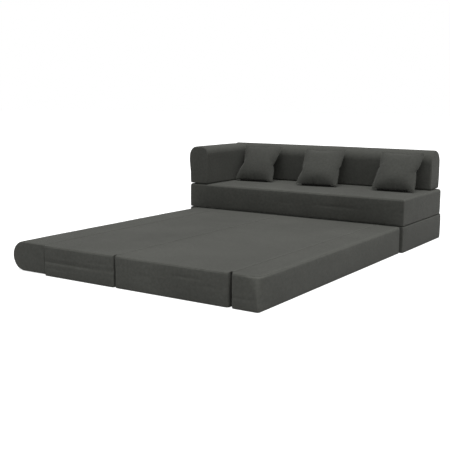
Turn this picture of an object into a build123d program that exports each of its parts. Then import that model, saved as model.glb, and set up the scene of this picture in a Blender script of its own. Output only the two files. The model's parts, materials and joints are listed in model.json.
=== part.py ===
# Floor-standing futon sofa bed made of foam cushions in zipped fabric covers.
# In front lies a fold-out mattress of four panels; behind it stands a two-layer sofa
# with a backrest bolster, one armrest bolster on the left and three throw pillows.
# Frame: origin at the centre of the bounding box's underside, +X to the right of a
# person who looks at the sofa, +Y towards its back, +Z up. Millimetres.
from build123d import *
from math import cos, radians, sin
import os

os.makedirs("parts", exist_ok=True)

# Driving dimensions
layer = 203              # thickness of every foam panel, 8 in
mattress_length = 2030   # 80 in, front to back
sofa_width = 1950
sofa_depth = 858
bolster_width = 304      # D-shaped head bolster, 12 in
bolster_length = 2010    # its front end is set back a little
inner_width = 594
main_width = 825
edge_width = 185
fold_gap = 6             # between bolster, inner panel and main panel
edge_gap = 10            # between main panel and edge panel
unit_gap = 8             # between mattress and sofa
backrest_height = 317
backrest_depth = 205
backrest_length = 1915   # its right end is set in from the seat's
armrest_width = 190
pillow_side = 368
pillow_thickness = 108

# Cushion make-up
cloth = 1.5              # cover cloth
slack = 1.0              # between a cover and its foam
corner = 28              # upright corners of a panel
edge = 13                # long edges of a panel
bolster_edge = 9         # edges of a bolster's end faces
armrest_crown = 66       # the armrest's two long upper edges
layer_gap = 1            # between stacked cushions

# Zips, fold tapes and hook-and-loop strips
zip_tape_width = 24
zip_tape = 0.8
zip_coil_width = 5
zip_coil = 1.6
slider_length = 14
slider_width = 9
slider_height = 2.4
slider_clearance = 0.3
pull_length = 26
pull_width = 7
pull_thickness = 1.1
zip_depth = zip_tape + zip_coil + slider_clearance + slider_height
tape_thickness = 1.0
tape_inset = 0.2
grip_width = 40
grip_thickness = 1.0

# Places
x_left = (zip_depth - sofa_width) / 2
x_right = x_left + sofa_width
y_front = -(mattress_length + unit_gap + sofa_depth + zip_depth) / 2
y_mattress_back = y_front + mattress_length
y_sofa_front = y_mattress_back + unit_gap
y_sofa_back = y_sofa_front + sofa_depth
z_seat = layer + layer_gap
z_seat_top = z_seat + layer
z_bolster = z_seat_top + 2 * grip_thickness
y_backrest_front = y_sofa_back - backrest_depth

x_bolster_end = x_left + bolster_width
x_inner = x_bolster_end + fold_gap
x_inner_end = x_inner + inner_width
x_main = x_inner_end + fold_gap
x_main_end = x_main + main_width
x_edge = x_main_end + edge_gap
x_edge_end = x_edge + edge_width


def save(piece, name):
    piece.part.label = name
    export_step(piece.part, f"parts/{name}.step")


def block(low, high, inset):
    """Foam panel: upright corners and long edges are rounded."""
    width, depth, height = (high[i] - low[i] - 2 * inset for i in range(3))
    middle = ((low[0] + high[0]) / 2, (low[1] + high[1]) / 2, low[2] + inset)
    with BuildPart() as solid:
        with BuildSketch(Plane(middle)):
            RectangleRounded(width, depth, corner - inset)
        extrude(amount=height)
        fillet(solid.faces().filter_by(Axis.Z).edges(), radius=edge - inset)
    return solid.part


def bolster_body(plane, width, height, crown, length, inset):
    """Bolster: flat at local y = 0 and round on top, run along the plane's normal.

    With crown = width / 2 its section is a D.
    """
    side, foot, top = width / 2 - inset, inset, height - inset
    with BuildPart() as solid:
        with BuildSketch(plane.offset(inset)):
            with BuildLine():
                Polyline((-side, height - crown), (-side, foot), (side, foot), (side, height - crown))
                RadiusArc((side, height - crown), (width / 2 - crown, top), inset - crown)
                if width > 2 * crown:
                    Line((width / 2 - crown, top), (crown - width / 2, top))
                RadiusArc((crown - width / 2, top), (-side, height - crown), inset - crown)
            make_face()
        extrude(amount=length - 2 * inset)
        ends = solid.faces().filter_by(Axis((0, 0, 0), plane.z_dir))
        fillet(ends.edges(), radius=bolster_edge - inset)
    return solid.part


def pillow_body(plane, inset):
    """Throw pillow: square rings that shrink towards the crown on both faces."""
    band = 5
    crown_side = 0.4 * pillow_side
    rings = []
    for angle in (90, 60, 30, 0):
        side = pillow_side - (pillow_side - crown_side) * (1 - cos(radians(angle)))
        rise = band + (pillow_thickness / 2 - band) * sin(radians(angle))
        rings.append((side - 2 * inset, rise - inset))
    with BuildPart() as solid:
        for side, rise in rings:
            with BuildSketch(plane.offset(-rise)):
                RectangleRounded(side, side, 12 + 0.2 * (pillow_side - side))
        for side, rise in reversed(rings):
            with BuildSketch(plane.offset(rise)):
                RectangleRounded(side, side, 12 + 0.2 * (pillow_side - side))
        loft(ruled=True)
    return solid.part


def upholster(name, shape, core):
    """A zipped cover as a closed skin, and the filling inside it."""
    with BuildPart() as cover:
        add(shape(0))
        add(shape(cloth), mode=Mode.SUBTRACT)
    save(cover, f"{name}_cover")
    with BuildPart() as filling:
        add(shape(cloth + slack))
    save(filling, f"{name}_{core}")


def add_zip(name, plane, length):
    """Zip tape with its coil, and a slider parked at the plane's -x end."""
    with BuildPart() as strip:
        with BuildSketch(plane):
            Rectangle(length, zip_tape_width)
        extrude(amount=zip_tape)
        with BuildSketch(plane.offset(zip_tape)):
            Rectangle(length, zip_coil_width)
        extrude(amount=zip_coil)
    save(strip, f"{name}_zip")
    seat = plane.offset(zip_tape + zip_coil + slider_clearance)
    parked = (slider_length - length) / 2 + 4
    with BuildPart() as slider:
        with BuildSketch(seat):
            with Locations((parked, 0)):
                RectangleRounded(slider_length, slider_width, 3)
        extrude(amount=slider_height)
        with BuildSketch(seat.offset(slider_height - pull_thickness)):
            with Locations((parked + pull_length / 2, 0)):
                RectangleRounded(pull_length, pull_width, 3)
        extrude(amount=pull_thickness)
    save(slider, f"{name}_zip_slider")


def strip(name, low, high):
    """Thin flat strip of tape, given by its two corners."""
    width, depth, height = (high[i] - low[i] for i in range(3))
    with BuildPart() as tape:
        with BuildSketch(Plane(((low[0] + high[0]) / 2, (low[1] + high[1]) / 2, low[2]))):
            Rectangle(width, depth)
        extrude(amount=height)
    save(tape, name)


def back_zip(name, low, high, margin):
    """Zip across a cushion's rear face, at mid height."""
    middle = ((low[0] + high[0]) / 2, high[1], (low[2] + high[2]) / 2)
    plane = Plane(origin=middle, x_dir=(-1, 0, 0), z_dir=(0, 1, 0))
    add_zip(name, plane, high[0] - low[0] - 2 * margin)


# Rectangular cushions: mattress panels, sofa base and seat
blocks = {
    "inner_panel": ((x_inner, y_front, 0), (x_inner_end, y_mattress_back, layer)),
    "main_panel": ((x_main, y_front, 0), (x_main_end, y_mattress_back, layer)),
    "edge_panel": ((x_edge, y_front, 0), (x_edge_end, y_mattress_back, layer)),
    "base": ((x_left, y_sofa_front, 0), (x_right, y_sofa_back, layer)),
    "seat": ((x_left, y_sofa_front, z_seat), (x_right, y_sofa_back, z_seat_top)),
}
for name, (low, high) in blocks.items():
    upholster(name, lambda inset: block(low, high, inset), "foam")
    back_zip(name, low, high, margin=corner + 6)

# Bolsters: head bolster of the mattress, backrest and armrest
bolster_plane = Plane(
    origin=(x_bolster_end, y_mattress_back - bolster_length, layer / 2),
    x_dir=(0, 0, -1),
    z_dir=(0, 1, 0),
)
backrest_plane = Plane(
    origin=(x_left, y_sofa_back - backrest_depth / 2, z_bolster), x_dir=(0, 1, 0), z_dir=(1, 0, 0)
)
armrest_length = y_backrest_front - layer_gap - y_sofa_front
armrest_plane = Plane(
    origin=(x_left + armrest_width / 2, y_backrest_front - layer_gap, z_bolster),
    x_dir=(1, 0, 0),
    z_dir=(0, -1, 0),
)
rounds = {
    "bolster": (bolster_plane, layer, bolster_width, layer / 2, bolster_length),
    "backrest": (backrest_plane, backrest_depth, backrest_height, backrest_depth / 2, backrest_length),
    "armrest": (armrest_plane, armrest_width, backrest_height, armrest_crown, armrest_length),
}
for name, (plane, *sizes) in rounds.items():
    upholster(name, lambda inset: bolster_body(plane, *sizes, inset), "foam")
back_zip(
    "bolster",
    (x_bolster_end - bolster_width + layer / 2, y_front, 0),
    (x_bolster_end, y_mattress_back, layer),
    margin=14,
)
back_zip(
    "backrest",
    (x_left, y_backrest_front, z_bolster),
    (x_left + backrest_length, y_sofa_back, z_bolster + backrest_height - backrest_depth / 2),
    margin=30,
)
armrest_side = Plane(
    origin=(x_left, y_sofa_front + armrest_length / 2, z_bolster + backrest_height / 4),
    x_dir=(0, -1, 0),
    z_dir=(-1, 0, 0),
)
add_zip("armrest", armrest_side, armrest_length - 60)

# Throw pillows: they lean back on the backrest, each with its zip in the lower edge
pillows = {
    "pillow_left": (-587, 5.2, 35.6),
    "pillow_middle": (36, 7.8, 39.2),
    "pillow_right": (714, 2.4, 38.3),
}
pillow_rest = 6          # room for the zip between a pillow and the seat
pillow_back = 2          # between a pillow and the backrest
for name, (x, turn, lean) in pillows.items():
    turn, lean = radians(turn), radians(lean)
    across = (cos(turn), sin(turn), 0)
    facing = (cos(lean) * sin(turn), -cos(lean) * cos(turn), sin(lean))
    box = pillow_body(Plane((0, 0, 0), x_dir=across, z_dir=facing), 0).bounding_box()
    centre = (x, y_backrest_front - pillow_back - box.max.Y, z_seat_top + pillow_rest - box.min.Z)
    plane = Plane(centre, x_dir=across, z_dir=facing)
    upholster(name, lambda inset: pillow_body(plane, inset), "filling")
    lower_edge = Plane(
        plane.origin - plane.y_dir * pillow_side / 2, x_dir=plane.x_dir, z_dir=-plane.y_dir
    )
    add_zip(name, lower_edge, 0.7 * pillow_side)

# Fold tapes: each is sewn to one cover and bridges the gap to the next one
tape_top = layer - tape_inset
reach = edge / 2
strip(
    "bolster_fold_tape",
    (x_bolster_end + tape_inset, y_front + 50, tape_inset),
    (x_inner + reach + 1, y_mattress_back - 30, tape_inset + tape_thickness),
)
strip(
    "inner_fold_tape",
    (x_inner_end - reach + 1, y_front + 30, tape_top - tape_thickness),
    (x_main + reach + 1, y_mattress_back - 30, tape_top),
)
strip(
    "edge_fold_tape",
    (x_main_end - reach - 1, y_front + 30, tape_top - tape_thickness),
    (x_edge + reach - 1, y_mattress_back - 30, tape_top),
)
strip(
    "seat_fold_tape",
    (x_left + 40, y_sofa_back - tape_inset - tape_thickness, layer - reach - 1),
    (x_right - 40, y_sofa_back - tape_inset, z_seat + reach - 1),
)

# Hook-and-loop strips hold the backrest and the armrest on the seat
y_grip = y_sofa_back - (backrest_depth + grip_width) / 2
x_grip = x_left + (armrest_width - grip_width) / 2
for kind, z in (("loop", z_seat_top), ("hook", z_seat_top + grip_thickness)):
    strip(
        f"backrest_{kind}_strip",
        (x_left + 60, y_grip, z),
        (x_left + backrest_length - 60, y_grip + grip_width, z + grip_thickness),
    )
    strip(
        f"armrest_{kind}_strip",
        (x_grip, y_sofa_front + 60, z),
        (x_grip + grip_width, y_sofa_front + armrest_length - 60, z + grip_thickness),
    )
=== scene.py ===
import bpy
import json
import math
from mathutils import Matrix, Vector, noise


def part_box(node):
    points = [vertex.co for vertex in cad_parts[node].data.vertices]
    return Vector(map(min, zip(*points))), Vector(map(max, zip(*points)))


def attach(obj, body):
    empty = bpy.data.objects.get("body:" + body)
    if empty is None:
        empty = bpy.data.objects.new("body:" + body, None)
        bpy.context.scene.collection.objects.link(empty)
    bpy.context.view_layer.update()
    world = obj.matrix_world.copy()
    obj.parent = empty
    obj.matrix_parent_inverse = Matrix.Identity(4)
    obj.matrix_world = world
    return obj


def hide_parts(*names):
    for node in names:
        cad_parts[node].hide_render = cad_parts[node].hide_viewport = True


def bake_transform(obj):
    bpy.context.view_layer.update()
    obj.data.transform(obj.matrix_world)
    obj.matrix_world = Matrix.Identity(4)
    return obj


# Frameless futon sofa bed: foam cushions in dark grey woven covers. Metres, in the CAD frame.
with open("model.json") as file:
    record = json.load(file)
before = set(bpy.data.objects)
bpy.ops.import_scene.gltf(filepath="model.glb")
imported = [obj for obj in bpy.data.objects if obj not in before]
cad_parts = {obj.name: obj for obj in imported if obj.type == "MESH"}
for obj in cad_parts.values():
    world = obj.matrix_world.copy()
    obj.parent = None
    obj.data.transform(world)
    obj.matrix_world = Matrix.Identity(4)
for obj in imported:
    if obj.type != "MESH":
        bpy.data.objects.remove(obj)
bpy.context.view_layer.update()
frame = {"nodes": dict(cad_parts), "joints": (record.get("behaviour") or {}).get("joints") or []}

MM = 0.001
THREAD = 1.6 * MM            # pitch of the cover's weave
SEAM_RADIUS = 1.6 * MM       # corded seam along a cushion's edges
CELL = 22 * MM               # mesh cell before subdivision
FINE_CELL = 10 * MM          # the same up a panel's sides, where its creases run
EASE_LINES = [k * MM for k in (0, 5, 9, 13.5, 18, 24)]    # mesh lines beside every edge
SINK = 2 * MM                # how far a cover's rim lies below its crown
FACING = 0.7                 # a normal's share along an axis that puts a point on that side's face


# ---------------------------------------------------------------- materials

BANDS_PER_UNIT = 20 / (2 * math.pi)      # bands that a wave texture fits into one unit
SLUB_SCALE = 40              # thick and thin stretches of yarn, per metre
SLUB_SHARE = 0.55            # how far slubs reach towards the light yarn
CROWN_SHARE = 0.28           # how much lighter a thread's crown is
FADE_SCALE = 2.6             # slow fading over a cushion, per metre
MOTTLE_SCALE = 55.0          # heather that shows from across a room, per metre
WEAR_AND_HIGHLIGHT_SHARE = 0.3             # how far a rim goes towards the rim colour: partly wear, partly a painted highlight
WEAR_AND_HIGHLIGHT_GAIN = 2.2              # the rim's lighter colour, partly wear and partly painted highlight, from the light yarn's
THREAD_RELIEF = 0.35 * MM


def new_material(name, base, roughness, **sockets):
    """A Principled material with its constants on the shader's own sockets."""
    material = bpy.data.materials.new(name)
    material.use_nodes = True
    shader = material.node_tree.nodes["Principled BSDF"]
    shader.inputs["Base Color"].default_value = (*base, 1)
    shader.inputs["Roughness"].default_value = roughness
    for socket, value in sockets.items():
        shader.inputs[socket.replace("_", " ")].default_value = value
    return material, material.node_tree, shader


def add_node(tree, kind, inputs=None, **settings):
    """One node with its settings; inputs maps a socket to a value or to another node's socket."""
    node = tree.nodes.new(kind)
    for key, value in settings.items():
        setattr(node, key, value)
    for socket, value in (inputs or {}).items():
        if isinstance(value, bpy.types.NodeSocket):
            tree.links.new(value, node.inputs[socket])
        else:
            node.inputs[socket].default_value = value
    return node


def scaled(tree, vector, scale):
    return add_node(tree, "ShaderNodeMapping", {"Vector": vector, "Scale": scale}).outputs[0]


def math_node(tree, operation, first, second=0.0):
    return add_node(tree, "ShaderNodeMath", {0: first, 1: second}, operation=operation).outputs[0]


def mix_colour(tree, factor, first, second, blend="MIX"):
    node = add_node(tree, "ShaderNodeMix", data_type="RGBA", blend_type=blend)
    for socket, value in ((0, factor), (6, first), (7, second)):
        if isinstance(value, bpy.types.NodeSocket):
            tree.links.new(value, node.inputs[socket])
        else:
            node.inputs[socket].default_value = value
    return node.outputs[2]


def varied(tree, place, scale, detail):
    """Noise that scales a colour by 0.9 to 1.1 in patches about 1 / scale metres long."""
    patches = add_node(
        tree, "ShaderNodeTexNoise", {"Vector": place, "Scale": scale, "Detail": detail}
    ).outputs["Fac"]
    return add_node(
        tree, "ShaderNodeMapRange",
        {"Value": patches, "From Min": 0.3, "From Max": 0.7, "To Min": 0.9, "To Max": 1.1},
    ).outputs[0]


def woven(name, dark, light, thread, sheen):
    """Plain-weave upholstery cloth: crossing yarns, slubs, rims lightened by wear and by a painted
    highlight, and soft sheen.
    """
    material, tree, shader = new_material(
        name, dark, 0.88, Sheen_Weight=sheen, Sheen_Roughness=0.45, Specular_IOR_Level=0.25
    )
    shader.inputs["Sheen Tint"].default_value = (0.75, 0.75, 0.72, 1)
    uv = add_node(tree, "ShaderNodeUVMap").outputs[0]
    per_thread = 1 / thread
    bands = per_thread / BANDS_PER_UNIT
    warp = add_node(
        tree, "ShaderNodeTexWave", {"Vector": scaled(tree, uv, (bands, 0, 0)), "Scale": 1.0},
        wave_type="BANDS", bands_direction="X",
    ).outputs["Fac"]
    weft = add_node(
        tree, "ShaderNodeTexWave", {"Vector": scaled(tree, uv, (0, bands, 0)), "Scale": 1.0},
        wave_type="BANDS", bands_direction="Y",
    ).outputs["Fac"]
    cross = math_node(tree, "ABSOLUTE", math_node(tree, "SUBTRACT", warp, weft))
    yarns = []
    for scale in ((SLUB_SCALE, per_thread, 1), (per_thread, SLUB_SCALE, 1)):
        yarns.append(add_node(
            tree, "ShaderNodeTexNoise",
            {"Vector": scaled(tree, uv, scale), "Scale": 1.0, "Detail": 2.0},
        ).outputs["Fac"])
    slubs = math_node(tree, "MULTIPLY", math_node(tree, "ADD", yarns[0], yarns[1]), SLUB_SHARE)
    place = add_node(tree, "ShaderNodeTexCoord").outputs["Object"]
    faded = varied(tree, place, FADE_SCALE, 3.0)
    mottled = varied(tree, place, MOTTLE_SCALE, 5.0)
    heather = mix_colour(tree, slubs, (*dark, 1), (*light, 1))
    threads = mix_colour(tree, math_node(tree, "MULTIPLY", cross, CROWN_SHARE), heather, (*light, 1))
    toned = add_node(tree, "ShaderNodeVectorMath", {0: threads}, operation="SCALE")
    tree.links.new(math_node(tree, "MULTIPLY", faded, mottled), toned.inputs["Scale"])
    # rims and seams are lightened: partly wear, partly a painted highlight along the top edges
    rim = add_node(tree, "ShaderNodeAttribute", attribute_name="rim").outputs["Fac"]
    worn_and_highlit = mix_colour(
        tree, math_node(tree, "MULTIPLY", rim, WEAR_AND_HIGHLIGHT_SHARE), toned.outputs[0],
        (*[WEAR_AND_HIGHLIGHT_GAIN * c for c in light], 1),
    )
    tree.links.new(worn_and_highlit, shader.inputs["Base Color"])
    rough = add_node(
        tree, "ShaderNodeMapRange", {"Value": cross, "To Min": 0.82, "To Max": 0.95}
    ).outputs[0]
    tree.links.new(rough, shader.inputs["Roughness"])
    height = math_node(tree, "ADD", cross, math_node(tree, "MULTIPLY", slubs, 0.6))
    bump = add_node(
        tree, "ShaderNodeBump", {"Height": height, "Strength": 0.5, "Distance": THREAD_RELIEF}
    ).outputs[0]
    tree.links.new(bump, shader.inputs["Normal"])
    return material


def pebbled(name, base, other, scale, depth, roughness=0.9):
    """Zip tape, coil or hook-and-loop strip: a fine uneven surface in two tones."""
    material, tree, shader = new_material(name, base, roughness)
    place = add_node(tree, "ShaderNodeTexCoord").outputs["Object"]
    cells = add_node(tree, "ShaderNodeTexVoronoi", {"Vector": place, "Scale": scale}).outputs["Distance"]
    spots = add_node(
        tree, "ShaderNodeTexNoise", {"Vector": place, "Scale": scale / 6, "Detail": 3.0}
    ).outputs["Fac"]
    colour = mix_colour(tree, spots, (*base, 1), (*other, 1))
    tree.links.new(colour, shader.inputs["Base Color"])
    bump = add_node(
        tree, "ShaderNodeBump", {"Height": cells, "Strength": 0.6, "Distance": depth}
    ).outputs[0]
    tree.links.new(bump, shader.inputs["Normal"])
    return material


def enamelled_metal():
    """Dark enamel on a die-cast zip slider, scuffed down to brighter metal in places."""
    material, tree, shader = new_material("slider_enamel", (0.03, 0.03, 0.03), 0.35, Metallic=0.6)
    place = add_node(tree, "ShaderNodeTexCoord").outputs["Object"]
    scuffs = add_node(
        tree, "ShaderNodeTexNoise", {"Vector": place, "Scale": 420.0, "Detail": 4.0}
    ).outputs["Fac"]
    share = add_node(
        tree, "ShaderNodeMapRange", {"Value": scuffs, "From Min": 0.55, "From Max": 0.75}
    ).outputs[0]
    colour = mix_colour(tree, share, (0.03, 0.03, 0.03, 1), (0.16, 0.16, 0.155, 1))
    tree.links.new(colour, shader.inputs["Base Color"])
    rough = add_node(
        tree, "ShaderNodeMapRange", {"Value": scuffs, "To Min": 0.28, "To Max": 0.5}
    ).outputs[0]
    tree.links.new(rough, shader.inputs["Roughness"])
    return material


GREY_DARK = (0.060, 0.0615, 0.054)
GREY_LIGHT = (0.099, 0.101, 0.091)
cover_cloth = woven("cover_cloth", GREY_DARK, GREY_LIGHT, THREAD, sheen=0.12)
pillow_cloth = woven("pillow_cloth", [0.8 * c for c in GREY_DARK], [0.8 * c for c in GREY_LIGHT],
                     THREAD, sheen=0.15)
seam_cloth = woven("seam_cloth", [0.9 * c for c in GREY_DARK], GREY_LIGHT, 0.9 * MM, sheen=0.1)
hook_tape = pebbled("hook_tape", (0.018, 0.018, 0.018), (0.045, 0.045, 0.045), 700.0, 0.6 * MM)
zip_tape = pebbled("zip_tape", (0.028, 0.028, 0.026), (0.05, 0.05, 0.047), 900.0, 0.3 * MM)
coil_nylon = pebbled("coil_nylon", (0.02, 0.02, 0.02), (0.045, 0.045, 0.043), 1200.0, 0.1 * MM, 0.42)
slider_enamel = enamelled_metal()


# ---------------------------------------------------------------- meshes

def make_object(name, points, faces, material, smooth=True):
    mesh = bpy.data.meshes.new(name)
    mesh.from_pydata([tuple(p) for p in points], [], faces)
    mesh.materials.append(material)
    if smooth:
        mesh.polygons.foreach_set("use_smooth", [True] * len(mesh.polygons))
    mesh.update()
    thing = bpy.data.objects.new(name, mesh)
    bpy.context.scene.collection.objects.link(thing)
    return thing


def apply_modifier(thing, modifier):
    bpy.context.view_layer.objects.active = thing
    thing.select_set(True)
    bpy.ops.object.modifier_apply(modifier=modifier.name)
    thing.select_set(False)


def subdivide(thing):
    modifier = thing.modifiers.new("smooth", "SUBSURF")
    modifier.levels = 1
    apply_modifier(thing, modifier)


def project_uv(thing):
    """Lays the weave flat on each face: UV is the place in metres along the face's own plane."""
    mesh = thing.data
    layer = mesh.uv_layers[0] if mesh.uv_layers else mesh.uv_layers.new(name="weave")
    for polygon in mesh.polygons:
        normal = [abs(c) for c in polygon.normal]
        out = normal.index(max(normal))
        first, second = [axis for axis in range(3) if axis != out]
        for loop in polygon.loop_indices:
            place = mesh.vertices[mesh.loops[loop].vertex_index].co
            layer.data[loop].uv = (place[first], place[second])


def set_rim(thing, values):
    """Stores each point's rim share, from 0 to 1: how worn it is and how much painted highlight it
    carries.
    """
    attribute = thing.data.attributes.new("rim", "FLOAT", "POINT")
    attribute.data.foreach_set("value", values)


def steps(low, high, cell):
    """Mesh lines across a side: close together beside each edge, even cells between."""
    start, end = low + EASE_LINES[-1], high - EASE_LINES[-1]
    count = max(2, round((end - start) / cell))
    inner = [start + (end - start) * k / count for k in range(count + 1)]
    return [low + t for t in EASE_LINES[:-1]] + inner + [high - t for t in reversed(EASE_LINES[:-1])]


def box_lattice(low, high, cells):
    """Closed box skin on a lattice. Gives points, faces and each point's lattice indices."""
    lines = [steps(low[a], high[a], cells[a]) for a in range(3)]
    last = [len(line) - 1 for line in lines]
    index, points, faces = {}, [], []

    def point(key):
        if key not in index:
            index[key] = len(points)
            points.append(Vector((lines[0][key[0]], lines[1][key[1]], lines[2][key[2]])))
        return index[key]

    for out in range(3):
        first, second = [a for a in range(3) if a != out]
        for end in (0, last[out]):
            for i in range(last[first]):
                for j in range(last[second]):
                    corners = []
                    for di, dj in ((0, 0), (1, 0), (1, 1), (0, 1)):
                        key = [0, 0, 0]
                        key[out], key[first], key[second] = end, i + di, j + dj
                        corners.append(point(tuple(key)))
                    outward = (end == 0) == (out != 1)
                    faces.append(corners[::-1] if outward else corners)
    return points, faces, index, last


def eased(distance, drop, radius):
    """Where a point of a sharp edge lands on a round one: how far in from the side, how far down."""
    if distance >= radius or drop >= radius:
        return distance, drop
    reach = Vector((radius - distance, radius - drop)).normalized() * radius
    return radius - reach.x, radius - reach.y


def soften(place, low, high, radii, foot_radius, corner_radii):
    """Moves a point of a sharp box onto a cushion with its own radius along every side and corner.

    radii: top edge radius by (axis, sign) of the side. corner_radii: upright radius at the top and
    at the foot, by the signs of the corner.
    """
    top_half = place.z > (low.z + high.z) / 2
    drop = high.z - place.z if top_half else place.z - low.z
    moved, outline, deepest, signs = place.copy(), {}, drop, []
    for axis in (0, 1):
        sign = 1 if place[axis] > (low[axis] + high[axis]) / 2 else -1
        face = high[axis] if sign > 0 else low[axis]
        radius = radii[(axis, sign)] if top_half else foot_radius
        distance = abs(face - place[axis])
        inward, down = eased(distance, drop, radius)
        if distance < radius:
            deepest = max(deepest, down)
        moved[axis] = face - sign * inward
        outline[axis] = face - sign * eased(0.0, drop, radius)[0]
        signs.append(sign)
    moved.z = high.z - deepest if top_half else low.z + deepest
    top_radius, low_radius = corner_radii[tuple(signs)]
    height_share = (place.z - low.z) / (high.z - low.z)
    radius = low_radius + (top_radius - low_radius) * height_share ** 2
    reach = [max(0.0, (moved[a] - outline[a]) * signs[a] + radius) for a in (0, 1)]
    if min(reach) > 0:
        shrink = max(reach) / math.hypot(*reach)
        for a in (0, 1):
            moved[a] = outline[a] - signs[a] * radius + signs[a] * reach[a] * shrink
    return moved


def ripple(place, size, seed):
    """Smooth noise from about -1 to 1 whose features are about size long."""
    return noise.noise(place / size + Vector((seed * 7.31, seed * 3.17, seed * 1.93)))


def d_section(across, up, width, height, crown, foot):
    """Rounds a bolster's rectangular section: its two upper edges by crown, its lower ones by foot."""
    half = width / 2
    x, y = (abs(across) - half + crown) / crown, (up - height + crown) / crown
    if x > 0 and y > 0:
        across = math.copysign(half - crown + crown * x * math.sqrt(1 - y * y / 2), across)
        up = height - crown + crown * y * math.sqrt(1 - x * x / 2)
    elif up < foot and abs(across) > half - foot:
        side = math.copysign(half - foot, across)
        reach = Vector((across - side, up - foot))
        if reach.length > foot:
            reach = reach.normalized() * foot
        across, up = side + reach.x, foot + reach.y
    return across, up


def end_inset(travel, length, radius):
    """How far the section pulls in near the ends of a bolster."""
    near = min(travel, length - travel)
    if near >= radius:
        return 0.0
    return radius - math.sqrt(radius ** 2 - (radius - near) ** 2)


def displace(skin, rule):
    """Moves every point along its normal by rule(place, normal)."""
    mesh = skin.data
    moves = [rule(v.co, v.normal) for v in mesh.vertices]
    for vertex, normal, move in zip(mesh.vertices, [v.normal.copy() for v in mesh.vertices], moves):
        vertex.co += normal * move
    mesh.update()


def rim_share(normal):
    """1 where a top edge turns over, less along upright corners, 0 on a flat face: wear plus a painted
    highlight on upward edges.
    """
    upward = normal.z ** 2
    top_edge = 2 * min(upward, 1 - upward) if normal.z > 0 else 0.0
    upright = 2 * min(normal.x ** 2, normal.y ** 2)
    return min(1.0, top_edge + 0.3 * upright)


def foam_undulation(place, seed):
    """Cloth over foam: always inwards, long soft hollows with finer ones in them."""
    long_wave = 0.5 + 0.5 * ripple(place, 0.32, seed)
    short_wave = 0.5 + 0.5 * ripple(place, 0.085, seed + 11)
    return -(2.0 * long_wave + 1.1 * short_wave) * MM


def gather(place, edge_distance, seed):
    """Small puckers that run in from a seam and die out."""
    strength = math.exp(-edge_distance / 0.03)
    return -1.3 * MM * strength * (0.5 + 0.5 * ripple(place, 0.035, seed + 23))


# level up the side, half width and depth in mm, and how readily each fold shows
FOLDS = ((0.5, 7.5, 5.0, 0.22), (0.68, 6.0, 2.4, -0.05), (0.3, 6.0, 1.8, -0.05))


def belly_crease(place, low, high, seed):
    """The soft folds that run along a panel's side near mid height, here and there."""
    along = Vector((place.x, place.y, 0))
    move = 0.0
    for number, (level, width, depth, readiness) in enumerate(FOLDS):
        height = low.z + level * (high.z - low.z) + 7 * MM * ripple(along, 0.4, seed + 31 + number)
        presence = ripple(along, 0.26, seed + 41 + number) + readiness
        share = max(0.0, min(1.0, presence * 3))
        move -= depth * MM * share * math.exp(-((place.z - height) / (width * MM)) ** 2)
    return move


def corner_pull(place, low, high):
    """Upright tucks in the cloth beside a panel's upright corners."""
    reach = min(abs(place.x - low.x), abs(place.x - high.x))
    if reach > 0.12:
        return 0.0
    share = (place.z - low.z) / (high.z - low.z)
    return 1.2 * MM * math.sin(reach / 0.0075) * math.exp(-reach / 0.045) * share ** 2


def ring_keys(last, out, level):
    """Lattice indices once round the box at one level of one axis."""
    first, second = [a for a in range(3) if a != out]
    ring = [(i, 0) for i in range(last[first])]
    ring += [(last[first], j) for j in range(last[second])]
    ring += [(i, last[second]) for i in range(last[first], 0, -1)]
    ring += [(0, j) for j in range(last[second], 0, -1)]
    keys = []
    for i, j in ring:
        key = [0, 0, 0]
        key[out], key[first], key[second] = level, i, j
        keys.append(tuple(key))
    return keys


def cord_along(name, path, radius, sides=6):
    """A thin round cord that closes on itself, through the points of a path."""
    points, faces = [], []
    count = len(path)
    for k, place in enumerate(path):
        along = (path[(k + 1) % count] - path[k - 1]).normalized()
        across = along.orthogonal().normalized()
        if abs(along.z) < 0.9:
            across = along.cross(Vector((0, 0, 1))).normalized()
        upward = along.cross(across)
        for s in range(sides):
            angle = 2 * math.pi * s / sides
            points.append(place + radius * (math.cos(angle) * across + math.sin(angle) * upward))
    for k in range(count):
        for s in range(sides):
            here, there = k * sides, ((k + 1) % count) * sides
            after = (s + 1) % sides
            faces.append((here + s, here + after, there + after, there + s))
    return make_object(name, points, faces, seam_cloth)


def finish_cushion(skin, cushion, wear_and_highlight):
    """Shared last steps of a cushion: subdivide, wear and painted highlight on its rims, weave, and what
    it stands for.
    """
    subdivide(skin)
    # painted highlight along the top edges, mixed with wear
    set_rim(skin, [wear_and_highlight * rim_share(v.normal) for v in skin.data.vertices])
    project_uv(skin)
    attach(skin, cushion)
    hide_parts(f"{cushion}_cover", f"{cushion}_foam")


def finish_seam(seam, cushion, wear_and_highlight):
    # the seam cord is lightened all over: wear plus a painted highlight
    set_rim(seam, [wear_and_highlight] * len(seam.data.vertices))
    project_uv(seam)
    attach(seam, cushion)


def sew_seams(skin, cushion, rings, index):
    """A corded seam along each ring of the skin's lattice."""
    for number, keys in enumerate(rings):
        path = [skin.data.vertices[index[key]].co.copy() for key in keys]
        seam = cord_along(f"{cushion}_seam_{number + 1}", path, SEAM_RADIUS)
        finish_seam(seam, cushion, wear_and_highlight=0.6)


# ---------------------------------------------------------------- rectangular cushions

SIDES = {"left": (0, -1), "right": (0, 1), "front": (1, -1), "back": (1, 1)}
CORNERS = [(x, y) for x in (-1, 1) for y in (-1, 1)]
FOOT_RADIUS = 10 * MM        # a panel's lower edges
TOP_RADIUS = 16              # mm, a panel's top edges unless it says otherwise
UPRIGHT_RADIUS = (9, 9)      # mm, its upright corners at the top and at the foot, likewise
FOLD_LIMIT = 10 * MM         # a side whose top edge is sharper than this folds against its neighbour


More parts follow.
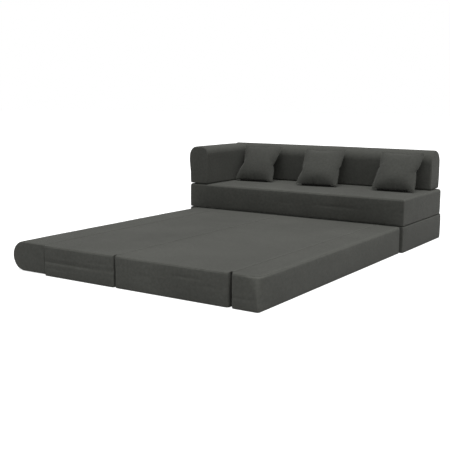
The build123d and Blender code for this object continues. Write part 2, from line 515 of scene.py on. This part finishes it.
def panel_cushion(cushion, seed, edges, bulges, corners, creases):
    """A foam panel in its cover: crowned faces, soft edges, corded seams.

    edges: top edge radius by side; bulges: how far a side swells out; corners: upright radii, all in
    mm. creases: depth of the folds in its sides, 1 as a rule.
    """
    low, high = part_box(cushion + "_cover")
    rim_low = low + Vector((SINK / 2, SINK / 2, 0))
    rim_high = high - Vector((SINK / 2, SINK / 2, SINK / 2))
    radii = {way: edges.get(side, TOP_RADIUS) * MM for side, way in SIDES.items()}
    swell = {way: bulges.get(side, 0) * MM for side, way in SIDES.items()}
    corner_radii = {corner: [r * MM for r in corners.get(corner, UPRIGHT_RADIUS)] for corner in CORNERS}
    points, faces, index, last = box_lattice(rim_low, rim_high, (CELL, CELL, FINE_CELL))
    points = [soften(p, rim_low, rim_high, radii, FOOT_RADIUS, corner_radii) for p in points]
    skin = make_object(cushion, points, faces, cover_cloth)
    middle, half = (low + high) / 2, (high - low) / 2
    folds = [sign for sign in (-1, 1) if radii[(0, sign)] < FOLD_LIMIT]

    def rule(place, normal):
        if normal.z < -FACING:
            return 0.0
        share = [(place[a] - middle[a]) / half[a] for a in range(3)]
        crown = SINK * normal.z ** 2 * (1 - abs(share[0]) ** 5) * (1 - abs(share[1]) ** 5)
        for (axis, sign), rise in swell.items():
            if normal[axis] * sign > 0.3:
                along = abs(share[1 - axis])
                crown += rise * normal[axis] ** 2 * (1 - along ** 8) * (1 - abs(share[2]) ** 3)
        edge_distance = min(half[a] * (1 - abs(share[a])) + normal[a] ** 2 for a in range(3))
        # the top stays level beside a fold, so that the tape over it lies flush
        fold_distance = min([half.x * (1 - sign * share[0]) for sign in folds] + [1.0])
        calm = 1 - math.exp(-fold_distance / (50 * MM)) if normal.z > 0.5 else 1.0
        move = crown + calm * foam_undulation(place, seed) + calm * gather(place, edge_distance, seed)
        if abs(normal.z) < 0.3:
            move += creases * normal.y ** 2 * belly_crease(place, low, high, seed)
            move += corner_pull(place, low, high) * (abs(normal.y) > FACING)
        return move

    displace(skin, rule)
    finish_cushion(skin, cushion, wear_and_highlight=1.0)
    sew_seams(skin, cushion, [ring_keys(last, 2, last[2]), ring_keys(last, 2, 0)], index)


# ---------------------------------------------------------------- bolsters

END_RADIUS = 9 * MM          # edges of a bolster's ends
BOLSTER_FOOT = 9 * MM        # its two lower long edges
SECTION_CELL = 14 * MM       # mesh cell across its section


def bolster_cushion(cushion, along, up, seed, crown=None, swell=0.0):
    """A bolster. along is its long axis; up is the (axis, sign) its round side points to.

    crown rounds its two upper edges; swell is how far its outer side fills out.
    """
    low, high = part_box(cushion + "_cover")
    up_axis, up_sign = up
    across_axis = 3 - along - up_axis
    sink = SINK / 2
    rim_low, rim_high = low.copy(), high.copy()
    rim_low[along] += sink
    rim_high[along] -= sink
    cells = [CELL] * 3
    cells[up_axis] = cells[across_axis] = SECTION_CELL
    points, faces, index, last = box_lattice(rim_low, rim_high, cells)
    width = high[across_axis] - low[across_axis] - 2 * sink
    height = high[up_axis] - low[up_axis] - sink
    crown = crown or width / 2
    middle = (low[across_axis] + high[across_axis]) / 2
    foot = low[up_axis] if up_sign > 0 else high[up_axis]
    length = rim_high[along] - rim_low[along]
    shaped = []
    for point in points:
        share_across = (point[across_axis] - middle) / ((high[across_axis] - low[across_axis]) / 2)
        share_up = (point[up_axis] - foot) * up_sign / (high[up_axis] - low[up_axis])
        across, rise = d_section(
            share_across * width / 2, share_up * height, width, height, crown, BOLSTER_FOOT
        )
        inset = end_inset(point[along] - rim_low[along], length, END_RADIUS)
        across *= 1 - inset / (width / 2)
        rise = height / 2 + (rise - height / 2) * (1 - inset / (height / 2))
        place = point.copy()
        place[across_axis] = middle + across
        place[up_axis] = foot + up_sign * rise
        shaped.append(place)
    skin = make_object(cushion, shaped, faces, cover_cloth)
    reach = (high - low) / 2
    centre = (low + high) / 2

    def rule(place, normal):
        share = abs(place[along] - centre[along]) / reach[along]
        if normal[up_axis] * up_sign < -FACING:
            return 0.0
        height_share = (place[up_axis] - foot) * up_sign / height
        if abs(normal[along]) > FACING:
            bulge = sink + 3 * MM * (1 - abs(2 * height_share - 1) ** 3)
        else:
            bulge = sink * (1 - share ** 6)
            if normal[across_axis] < 0:
                bulge += swell * math.sin(math.pi * min(1.0, max(0.0, height_share)) ** 1.6) ** 2
        edge_distance = reach[along] * (1 - share)
        return bulge + foam_undulation(place, seed) + gather(place, edge_distance, seed)

    displace(skin, rule)
    finish_cushion(skin, cushion, wear_and_highlight=0.15)
    sew_seams(skin, cushion, [ring_keys(last, along, 0), ring_keys(last, along, last[along])], index)


FOLD_EDGE = 5                # mm, top edge radius where a fold tape joins two panels
FRONT_LEFT, FRONT_RIGHT, BACK_LEFT, BACK_RIGHT = (-1, -1), (1, -1), (-1, 1), (1, 1)
panel_cushion("inner_panel", 1, {"left": 8, "right": FOLD_EDGE}, {"front": 4},
              {FRONT_LEFT: (16, 16), FRONT_RIGHT: (14, 14)}, creases=2.2)
panel_cushion("main_panel", 2, {"left": FOLD_EDGE, "right": FOLD_EDGE}, {"front": 4},
              {FRONT_LEFT: (14, 14), FRONT_RIGHT: (22, 20)}, creases=2.2)
panel_cushion("edge_panel", 3, {"left": FOLD_EDGE, "right": 22}, {"front": 4, "right": 5},
              {FRONT_LEFT: (24, 22), FRONT_RIGHT: (85, 14)}, creases=2.2)
panel_cushion("base", 4, dict.fromkeys(SIDES, 12), {"left": 5, "right": 6},
              {BACK_LEFT: (26, 26), BACK_RIGHT: (26, 26)}, creases=0.6)
panel_cushion("seat", 5, dict.fromkeys(SIDES, 20), {"left": 5, "right": 0, "front": 4},
              {BACK_LEFT: (26, 26), BACK_RIGHT: (50, 50)}, creases=0.6)
bolster_cushion("bolster", along=1, up=(0, -1), seed=6)
bolster_cushion("backrest", along=0, up=(2, 1), seed=7)
bolster_cushion("armrest", along=1, up=(2, 1), seed=8, crown=66 * MM, swell=11 * MM)


# ---------------------------------------------------------------- throw pillows

PILLOW_SIDE = 392 * MM       # the two squares that are sewn together, laid flat
PILLOW_HALF = 182 * MM       # half a stuffed pillow's side, from corner to corner
PILLOW_RISE = 54 * MM        # half its thickness
PILLOW_SEAM_RADIUS = 1.2 * MM
PILLOW_REST = 4 * MM         # cloth that would reach lower than this over the seat is pressed flat
PILLOW_CELLS = 36
STUFFING_FRAMES = 30
LOWER_PULL = 0.92            # share of its hollow that a pillow's lower edge loses
SIDE_PULL = 0.45             # the same for its other three edges
SETTLING = 0.2               # how much thicker its lower edge is, and thinner its upper one
# turn about Z, and lean back from upright, in degrees, as the CAD pillows stand
PILLOWS = {"pillow_left": (5.2, 35.6), "pillow_middle": (7.8, 39.2), "pillow_right": (2.4, 38.3)}


def pillow_blank(name, seed):
    """Two sewn squares, lying in XY, with a little stuffing between them."""
    count = PILLOW_CELLS
    grid, points, faces = {}, [], []
    for side in (1, -1):
        for i in range(count + 1):
            for j in range(count + 1):
                border = i in (0, count) or j in (0, count)
                if border and side < 0:
                    grid[(side, i, j)] = grid[(1, i, j)]
                    continue
                u, v = 2 * i / count - 1, 2 * j / count - 1
                rise = 0.02 * (1 - u ** 4) * (1 - v ** 4)
                rise += 0.003 * ripple(Vector((u, v, side)), 0.4, seed) * (not border)
                grid[(side, i, j)] = len(points)
                points.append(Vector((u * PILLOW_SIDE / 2, v * PILLOW_SIDE / 2, side * rise)))
        for i in range(count):
            for j in range(count):
                corners = [grid[(side, i + a, j + b)] for a, b in ((0, 0), (1, 0), (1, 1), (0, 1))]
                faces.append(corners if side > 0 else corners[::-1])
    border_keys = [(i, 0) for i in range(count)] + [(count, j) for j in range(count)]
    border_keys += [(i, count) for i in range(count, 0, -1)] + [(0, j) for j in range(count, 0, -1)]
    pillow = make_object(name, points, faces, pillow_cloth)
    return pillow, grid, [grid[(1, i, j)] for i, j in border_keys]


def inflate(pillow, pressure):
    """Blows the sewn squares up by cloth simulation and keeps the result."""
    modifier = pillow.modifiers.new("stuffing", "CLOTH")
    cloth = modifier.settings
    cloth.quality = 6            # solver steps per frame
    cloth.mass = 0.3
    cloth.tension_stiffness = 40
    cloth.compression_stiffness = 30
    cloth.shear_stiffness = 4
    cloth.bending_stiffness = 2.0
    cloth.use_pressure = True
    cloth.uniform_pressure_force = pressure
    cloth.effector_weights.gravity = 0
    modifier.collision_settings.use_self_collision = False
    scene = bpy.context.scene
    for step in range(1, STUFFING_FRAMES + 1):
        scene.frame_set(step)
    apply_modifier(pillow, modifier)
    scene.frame_set(1)


def iron(pillow, grid, rounds):
    """Evens out most of the small buckles that the stuffing leaves in the cloth."""
    vertices = pillow.data.vertices
    for _ in range(rounds):
        evened = {}
        for (side, i, j), k in grid.items():
            if 0 < i < PILLOW_CELLS and 0 < j < PILLOW_CELLS:
                around = [grid[(side, i + a, j + b)] for a, b in ((1, 0), (-1, 0), (0, 1), (0, -1))]
                evened[k] = sum((vertices[n].co for n in around), Vector()) / 4
        for k, place in evened.items():
            vertices[k].co = place


def straighten(pillow, grid):
    """Sizes the stuffed pillow and draws its edges nearly straight, the lower one all the way."""
    points = [v.co.copy() for v in pillow.data.vertices]
    thick = max(abs(p.z) for p in points)
    width = max(abs(p.x) for p in points)
    points = [Vector((p.x * PILLOW_HALF / width, p.y * PILLOW_HALF / width, p.z * PILLOW_RISE / thick))
              for p in points]
    moved = [p.copy() for p in points]
    done = set()
    for (side, i, j), k in grid.items():
        if k in done:
            continue
        done.add(k)
        u, v = 2 * i / PILLOW_CELLS - 1, 2 * j / PILLOW_CELLS - 1
        low_edge, high_edge = points[grid[(1, i, 0)]].y, points[grid[(1, i, PILLOW_CELLS)]].y
        left_edge, right_edge = points[grid[(1, 0, j)]].x, points[grid[(1, PILLOW_CELLS, j)]].x
        moved[k].y -= LOWER_PULL * (low_edge + PILLOW_HALF) * max(0.0, -v) ** 2
        moved[k].y += SIDE_PULL * (PILLOW_HALF - high_edge) * max(0.0, v) ** 2
        moved[k].x -= SIDE_PULL * (left_edge + PILLOW_HALF) * max(0.0, -u) ** 2
        moved[k].x += SIDE_PULL * (PILLOW_HALF - right_edge) * max(0.0, u) ** 2
    for vertex, place in zip(pillow.data.vertices, moved):
        vertex.co = place


def stand_pillow(pillow, cushion, turn, lean):
    """Leans the pillow back on its lower edge, its stuffing settled downwards."""
    low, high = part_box(cushion + "_cover")
    seat_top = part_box("seat_cover")[1].z
    back_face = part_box("backrest_cover")[0].y - 1 * MM       # keeps clear of the backrest
    turn, lean = math.radians(turn), math.radians(lean)
    across = Vector((math.cos(turn), math.sin(turn), 0))
    facing = Vector((math.cos(lean) * math.sin(turn), -math.cos(lean) * math.cos(turn), math.sin(lean)))
    up = facing.cross(across)
    centre = (low + high) / 2
    turned = Matrix((across, up, facing)).transposed()
    for vertex in pillow.data.vertices:
        place = vertex.co.copy()
        place.z *= 1 - SETTLING * place.y / PILLOW_HALF
        world_place = centre + turned @ place
        height = world_place.z - seat_top
        if height < PILLOW_REST:
            height = 1 * MM + 3 * MM * math.exp((height - PILLOW_REST) / (3 * MM))
        world_place.z = seat_top + height
        vertex.co = world_place
    behind = max(v.co.y for v in pillow.data.vertices) - back_face
    if behind > 0:
        for vertex in pillow.data.vertices:
            vertex.co.y -= behind
    pillow.data.update()


for number, (cushion, (turn, lean)) in enumerate(PILLOWS.items()):
    pillow, grid, border = pillow_blank(cushion, seed=number + 20)
    inflate(pillow, pressure=4.5 + 0.4 * number)
    iron(pillow, grid, rounds=14)
    straighten(pillow, grid)
    stand_pillow(pillow, cushion, turn, lean)
    edge_path = [pillow.data.vertices[i].co.copy() for i in border]
    subdivide(pillow)
    set_rim(pillow, [0.0] * len(pillow.data.vertices))
    project_uv(pillow)
    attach(pillow, cushion)
    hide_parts(cushion + "_cover", cushion + "_filling")
    seam = cord_along(cushion + "_seam", edge_path, PILLOW_SEAM_RADIUS)
    finish_seam(seam, cushion, wear_and_highlight=0.9)


# ---------------------------------------------------------------- fold tapes

TAPE_ROWS, TAPE_COLUMNS = 60, 12     # mesh cells along and across a tape
TAPE_HALF = 0.4 * MM                 # half its thickness


def fold_tape(node, across, hinge_at):
    """A strip of cover cloth over a fold: a thin flat slab that rides both covers across the gap between
    them.
    """
    low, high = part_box(node)
    run = 1 - across if across < 2 else 0
    flat = 3 - run - across
    points, faces = [], []
    for side in (0, 1):
        for i in range(TAPE_ROWS + 1):
            for j in range(TAPE_COLUMNS + 1):
                place = (low + high) / 2
                place[run] = low[run] + (high[run] - low[run]) * i / TAPE_ROWS
                place[across] = low[across] + (high[across] - low[across]) * j / TAPE_COLUMNS
                place[flat] += TAPE_HALF if side else -TAPE_HALF
                points.append(place)
    row = TAPE_COLUMNS + 1
    size = (TAPE_ROWS + 1) * row
    for side in (0, 1):
        for i in range(TAPE_ROWS):
            for j in range(TAPE_COLUMNS):
                a = side * size + i * row + j
                quad = (a, a + 1, a + row + 1, a + row)
                faces.append(quad if side else quad[::-1])
    border = [i * row for i in range(TAPE_ROWS + 1)]
    border += [TAPE_ROWS * row + j for j in range(1, row)]
    border += [i * row + TAPE_COLUMNS for i in range(TAPE_ROWS - 1, -1, -1)]
    border += [j for j in range(TAPE_COLUMNS - 1, 0, -1)]
    for a, b in zip(border, border[1:] + border[:1]):
        faces.append((a, b, b + size, a + size))
    tape = make_object(node, points, faces, cover_cloth)
    project_uv(tape)
    # the tape is lightened a little: wear plus a painted highlight
    set_rim(tape, [0.2] * len(points))
    start, end = hinge_at
    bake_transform(tape)
    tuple(start)
    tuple(end)
    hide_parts(node)


def gap_ends(left_cover, right_cover, parent_on_right):
    """The two sides of the gap between neighbouring panels, parent's side first."""
    left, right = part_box(left_cover)[1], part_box(right_cover)[0]
    ends = [(left.x, left.y, left.z), (right.x, left.y, left.z)]
    return ends[::-1] if parent_on_right else ends


fold_tape("inner_fold_tape", 0,
          gap_ends("inner_panel_cover", "main_panel_cover", True))
fold_tape("edge_fold_tape", 0,
          gap_ends("main_panel_cover", "edge_panel_cover", False))
fold_tape("bolster_fold_tape", 0,
          gap_ends("bolster_cover", "inner_panel_cover", True))
seat_hinge = [j for j in frame["joints"] if j["name"] == "seat_fold"][0]["pos_m"]
fold_tape("seat_fold_tape", 2,
          [(0, seat_hinge[1], seat_hinge[2] - 3 * MM), (0, seat_hinge[1], seat_hinge[2] + 3 * MM)])


# ---------------------------------------------------------------- zips and strips

TRIM = {"_zip": zip_tape, "_slider": slider_enamel, "_strip": hook_tape}
for name, thing in frame["nodes"].items():
    for ending, finish in TRIM.items():
        if name.endswith(ending):
            thing.data.materials.clear()
            thing.data.materials.append(finish)

TOOTH_PITCH = 2.6 * MM
TOOTH = Vector((1.3, 2.9, 0.7)) * MM     # size along the zip, across it, and out from it
TOOTH_SHIFT = 0.7 * MM       # each tooth sits this far to its own side
TOOTH_SEAT = 0.3 * MM        # its centre's depth below the coil's crest
BARE_ENDS = 4                # teeth left off, half of them at each end


def add_box(centre, half_sizes, points, faces):
    """Adds one box to a growing list of points and faces."""
    start = len(points)
    for k in range(8):
        offset = [half_sizes[a] * (1 if k >> a & 1 else -1) for a in range(3)]
        points.append(centre + Vector(offset))
    for quad in ((0, 2, 3, 1), (4, 5, 7, 6), (0, 1, 5, 4), (2, 6, 7, 3), (0, 4, 6, 2), (1, 3, 7, 5)):
        faces.append([start + k for k in quad])


def zip_teeth(cushion):
    """Coil teeth of a zip that runs straight along one axis, in two interlocking rows."""
    low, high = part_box(cushion + "_zip")
    size = high - low
    along = max(range(3), key=lambda a: size[a])
    out = min(range(3), key=lambda a: size[a])
    across = 3 - along - out
    body_low, body_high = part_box(cushion + "_cover")
    outward = 1 if (low[out] + high[out]) > (body_low[out] + body_high[out]) else -1
    crest = high[out] if outward > 0 else low[out]
    points, faces = [], []
    count = int(size[along] / TOOTH_PITCH) - BARE_ENDS
    for k in range(count):
        centre, half_sizes = Vector((0, 0, 0)), [0, 0, 0]
        centre[along] = low[along] + (k + 0.5 + BARE_ENDS / 2) * TOOTH_PITCH
        centre[across] = (low[across] + high[across]) / 2 + (TOOTH_SHIFT if k % 2 else -TOOTH_SHIFT)
        centre[out] = crest - outward * TOOTH_SEAT
        half_sizes[along], half_sizes[across], half_sizes[out] = TOOTH / 2
        add_box(centre, half_sizes, points, faces)
    teeth = make_object(cushion + "_zip_teeth", points, faces, coil_nylon, smooth=False)
    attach(teeth, cushion)


for name in frame["nodes"]:
    if name.endswith("_foam"):
        zip_teeth(name.removesuffix("_foam"))


# ---------------------------------------------------------------- floor, light, camera

FLOOR_HALF = 40              # metres
FLOOR_GREY = (0.58, 0.58, 0.58)      # what it is to every ray but the camera's
FLOOR_GLOW = 0.85            # what the camera alone sees added, so that the floor is white
floor_material, floor_tree, floor_shader = new_material("studio_floor", FLOOR_GREY, 0.95)
floor_shader.inputs["Emission Color"].default_value = (1, 1, 1, 1)
floor_seen = add_node(floor_tree, "ShaderNodeLightPath").outputs["Is Camera Ray"]
floor_glow = math_node(floor_tree, "MULTIPLY", floor_seen, FLOOR_GLOW)
floor_tree.links.new(floor_glow, floor_shader.inputs["Emission Strength"])
floor = make_object(
    "floor",
    [(-FLOOR_HALF, -FLOOR_HALF, 0), (FLOOR_HALF, -FLOOR_HALF, 0),
     (FLOOR_HALF, FLOOR_HALF, 0), (-FLOOR_HALF, FLOOR_HALF, 0)],
    [(0, 1, 2, 3)],
    floor_material,
    smooth=False,
)

DAYLIGHT = 2.33
DAYLIGHT_FROM = Vector((0.14, -0.09, 0.72))
SOFTNESS = math.radians(45)  # the sun's width in the sky
SKYLIGHT = 0.3               # the white backdrop's strength as a light
world = bpy.data.worlds.new("studio")
bpy.context.scene.world = world
world.use_nodes = True
backdrop = world.node_tree.nodes["Background"]
backdrop.inputs["Color"].default_value = (1, 1, 1, 1)
seen_directly = add_node(world.node_tree, "ShaderNodeLightPath").outputs["Is Camera Ray"]
brightness = add_node(
    world.node_tree, "ShaderNodeMapRange", {"Value": seen_directly, "To Min": SKYLIGHT, "To Max": 1.0}
).outputs[0]
world.node_tree.links.new(brightness, backdrop.inputs["Strength"])
daylight_data = bpy.data.lights.new("daylight", "SUN")
daylight_data.energy = DAYLIGHT
daylight_data.angle = SOFTNESS
daylight = bpy.data.objects.new("daylight", daylight_data)
daylight.rotation_euler = DAYLIGHT_FROM.to_track_quat("Z", "Y").to_euler()
bpy.context.scene.collection.objects.link(daylight)

TURN = math.radians(33.44)   # camera looks this far left of straight back
DROP = math.radians(9.17)    # and this far down
ROLL = math.radians(0.27)
STATION = (3.106, -5.035, 1.156)
LENS = 64.2                  # mm, on a 36 mm sensor
ahead = Vector((-math.sin(TURN) * math.cos(DROP), math.cos(TURN) * math.cos(DROP), -math.sin(DROP)))
right = Vector((math.cos(TURN), math.sin(TURN), 0))
upward = right.cross(ahead)
tilted_right = right * math.cos(ROLL) + upward * math.sin(ROLL)
tilted_up = upward * math.cos(ROLL) - right * math.sin(ROLL)
camera_data = bpy.data.cameras.new("camera")
camera_data.sensor_width = 36
camera_data.lens = LENS
camera = bpy.data.objects.new("camera", camera_data)
camera.matrix_world = Matrix.Translation(STATION) @ Matrix(
    (tilted_right, tilted_up, -ahead)
).transposed().to_4x4()
bpy.context.scene.collection.objects.link(camera)
bpy.context.scene.camera = camera
bpy.context.scene.view_settings.view_transform = "Standard"
